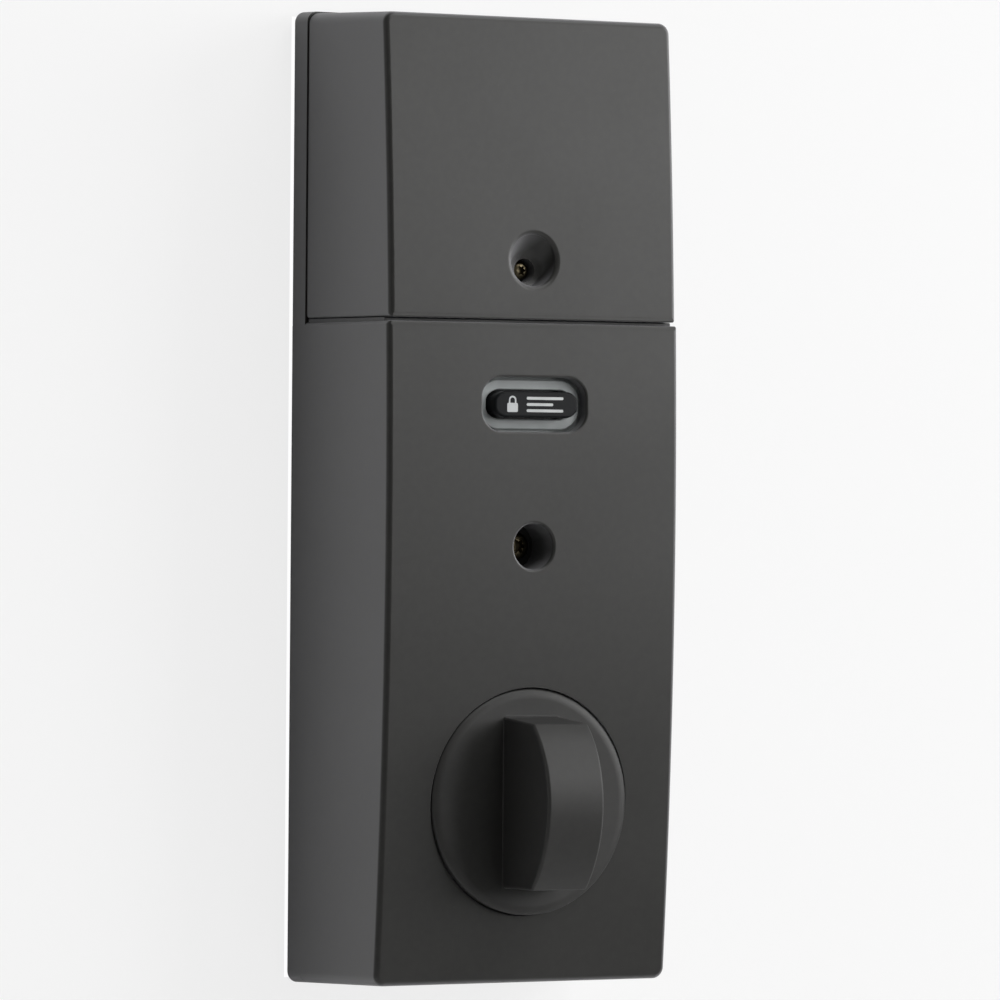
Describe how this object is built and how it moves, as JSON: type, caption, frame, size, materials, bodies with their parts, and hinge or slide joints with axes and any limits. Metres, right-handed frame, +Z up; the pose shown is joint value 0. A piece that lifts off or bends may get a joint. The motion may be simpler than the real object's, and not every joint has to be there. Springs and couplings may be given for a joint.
{
  "type": "keypad smart lock inside unit",
  "caption": "Room-side unit of a motorised keypad deadbolt lock: bowed housing with lift-off battery cover, oval push button and lever thumbturn, with geared motor, board and cells inside.",
  "frame": {"origin": "on the door plane, at the middle of the unit's width and height, on the rear face of the support plate", "axes": "+X to the right as seen from the room, +Y into the door, +Z up"},
  "size_m": [0.0762, 0.0583, 0.213],
  "materials": {
    "housing_paint": "fine matte powder coat, dark warm grey",
    "thumbturn_paint": "fine satin powder coat, dark warm grey",
    "plate_steel": "zinc plated, dull",
    "gear_plate_steel": "stamped, satin",
    "screw_steel": "zinc plated",
    "visible_screw": "yellow passivated, dull",
    "brass": "turned",
    "spindle_metal": "die cast, tumbled",
    "pin_steel": "ground, bright",
    "magnet_nickel": "nickel plated",
    "gear_plastic": "natural acetal, slight sheen",
    "chassis_plastic": "glass filled, fine grain",
    "motor_steel": "drawn, satin",
    "pale_plastic": "moulded nylon",
    "board_laminate": "solder mask",
    "component_black": "moulded epoxy",
    "capacitor_sleeve": "shrunk sleeve",
    "radio_can": "tin plated",
    "plunger_plastic": "moulded",
    "button_gloss": "polished black",
    "light_pipe": "milky translucent grey",
    "contact_metal": "nickel plated spring steel",
    "cell_wrap": "printed shrink wrap, plain",
    "wire_black": "soft vinyl",
    "wire_red": "soft vinyl",
    "wire_grey": "soft vinyl"
  },
  "bodies": {
    "base": {"main_housing": "housing_paint", "support_plate": "plate_steel", "gear_plate": "gear_plate_steel", "chassis_screw_1": "screw_steel", "chassis_screw_2": "screw_steel", "chassis_screw_3": "screw_steel", "chassis_screw_4": "screw_steel", "gear_plate_screw_1": "screw_steel", "gear_plate_screw_2": "screw_steel", "gear_plate_screw_3": "screw_steel", "gear_plate_screw_4": "screw_steel", "board_screw_1": "screw_steel", "board_screw_2": "screw_steel", "tray_screw_1": "screw_steel", "tray_screw_2": "screw_steel", "mounting_screw": "visible_screw", "turn_bush": "brass", "tray_insert": "brass", "gear_pin_1": "pin_steel", "gear_pin_2": "pin_steel", "chassis": "chassis_plastic", "battery_tray": "chassis_plastic", "motor_can": "motor_steel", "motor_end_cap": "pale_plastic", "cable_header": "pale_plastic", "battery_socket": "pale_plastic", "circuit_board": "board_laminate", "main_chip": "component_black", "switch_body": "component_black", "alarm_sounder": "component_black", "capacitor": "capacitor_sleeve", "radio_module": "radio_can", "light_ring": "light_pipe", "negative_contact": "contact_metal", "positive_contact": "contact_metal", "lower_link": "contact_metal", "upper_link_1": "contact_metal", "upper_link_2": "contact_metal", "battery_1": "cell_wrap", "battery_2": "cell_wrap", "battery_3": "cell_wrap", "battery_4": "cell_wrap", "battery_lead_negative": "wire_black", "battery_lead_positive": "wire_red", "motor_lead_1": "wire_red", "motor_lead_2": "wire_grey"},
    "turn": {"thumbturn": "thumbturn_paint", "turn_spindle": "spindle_metal", "hub_gear": "gear_plastic", "position_magnet": "magnet_nickel", "retaining_clip": "pin_steel", "wave_washer": "pin_steel"},
    "idler_2": {"idler_gear_2": "gear_plastic"},
    "idler_1": {"idler_gear_1": "gear_plastic"},
    "pinion": {"motor_pinion": "brass"},
    "button": {"button_cap": "button_gloss", "switch_plunger": "plunger_plastic"},
    "cover": {"battery_cover": "housing_paint", "cover_screw": "visible_screw"}
  },
  "joints": [
    {"name": "thumbturn_turn", "type": "hinge", "parent": "base", "child": "turn", "pos_m": [0, 0, -0.066], "axis": [0, -1, 0], "range_deg": [-90, 90]},
    {"name": "idler_2_spin", "type": "hinge", "parent": "base", "child": "idler_2", "pos_m": [-0.012, 0, -0.05], "axis": [0, -1, 0], "range_deg": [-270, 270]},
    {"name": "idler_1_spin", "type": "hinge", "parent": "base", "child": "idler_1", "pos_m": [0.003, 0, -0.042], "axis": [0, -1, 0], "range_deg": [-648, 648]},
    {"name": "pinion_spin", "type": "hinge", "parent": "base", "child": "pinion", "pos_m": [0.0162, 0, -0.0321], "axis": [0, -1, 0], "range_deg": [-1728, 1728]},
    {"name": "button_press", "type": "slide", "parent": "base", "child": "button", "axis": [0, 1, 0], "range_m": [0, 0.0006], "stiffness_N_per_m": 2500},
    {"name": "cover_lift", "type": "slide", "parent": "base", "child": "cover", "axis": [0, -1, 0], "range_m": [0, 0.06]}
  ],
  "couplings": [
    {"joint": "idler_2_spin", "follows": "thumbturn_turn", "ratio": -3},
    {"joint": "idler_1_spin", "follows": "thumbturn_turn", "ratio": 7.2},
    {"joint": "pinion_spin", "follows": "thumbturn_turn", "ratio": -19.2}
  ]
}
